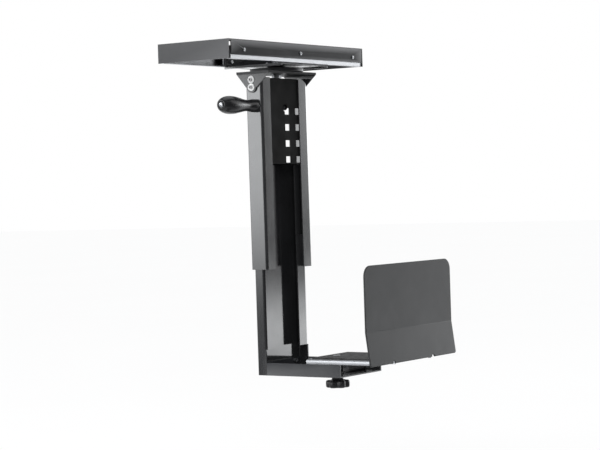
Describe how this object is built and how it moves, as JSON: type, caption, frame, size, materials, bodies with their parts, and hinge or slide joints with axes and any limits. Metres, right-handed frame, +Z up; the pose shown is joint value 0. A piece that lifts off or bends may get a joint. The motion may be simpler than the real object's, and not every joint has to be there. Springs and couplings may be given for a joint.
{
  "type": "under-desk computer holder",
  "caption": "Under-desk computer holder: slide track, swivelling head, telescopic channel column, slotted tray and sliding side paddle with a star knob.",
  "frame": {"origin": "centre of the track's top face, which lies against the underside of the desk", "axes": "+X along the track, +Y from the paddle towards the column's closed back, +Z up; the holder hangs below z = 0"},
  "size_m": [0.446, 0.3815, 0.6602],
  "materials": {
    "black_steel": "semi-gloss black powder coat",
    "zinc": "bright zinc plate",
    "black_plastic": "satin moulded plastic",
    "rubber": "matte rubber",
    "white_washer": "satin white nylon",
    "brass": "turned brass"
  },
  "bodies": {
    "track": {"track_frame": "black_steel", "slide_rail_front": "zinc", "slide_rail_rear": "zinc", "rail_screws": "zinc", "end_bumpers": "rubber"},
    "carriage": {"carriage_plate": "black_steel", "slide_runner_front": "zinc", "slide_runner_rear": "zinc", "runner_rivets": "zinc", "swivel_disc": "black_plastic"},
    "head": {"head_bracket": "black_steel", "swivel_bolt": "zinc", "swivel_washer": "zinc", "swivel_nut": "zinc", "bracket_bolts": "black_steel", "bracket_washers": "white_washer", "outer_column": "black_steel", "lock_plate": "black_steel", "glide_liners": "black_plastic", "shaft_bush": "black_plastic"},
    "handle": {"handle_grip": "black_plastic", "handle_screw": "zinc", "handle_shaft": "zinc", "shaft_collar": "zinc"},
    "lift": {"inner_column": "black_steel", "tray": "black_steel", "tray_screws": "zinc"},
    "side_clamp": {"paddle": "black_steel", "guide_block": "black_plastic", "arm_pad": "rubber", "clamp_stud": "zinc", "knob_washer": "zinc"},
    "clamp_knob": {"star_knob": "black_plastic", "knob_insert": "brass"}
  },
  "joints": [
    {"name": "track_slide", "type": "slide", "parent": "track", "child": "carriage", "axis": [1, 0, 0], "range_m": [-0.155, 0.075]},
    {"name": "head_swivel", "type": "hinge", "parent": "carriage", "child": "head", "pos_m": [0.04, 0, -0.05], "axis": [0, 0, 1], "range_deg": [-180, 180]},
    {"name": "handle_turn", "type": "hinge", "parent": "head", "child": "handle", "pos_m": [-0.037, -0.002, -0.115], "axis": [-1, 0, 0], "range_deg": [0, 270]},
    {"name": "column_lift", "type": "slide", "parent": "head", "child": "lift", "axis": [0, 0, 1], "range_m": [-0.1, 0.1]},
    {"name": "paddle_slide", "type": "slide", "parent": "lift", "child": "side_clamp", "axis": [0, -1, 0], "range_m": [-0.08, 0.025]},
    {"name": "knob_turn", "type": "hinge", "parent": "side_clamp", "child": "clamp_knob", "pos_m": [0.038, -0.122, -0.65], "axis": [0, 0, 1], "continuous": true}
  ]
}
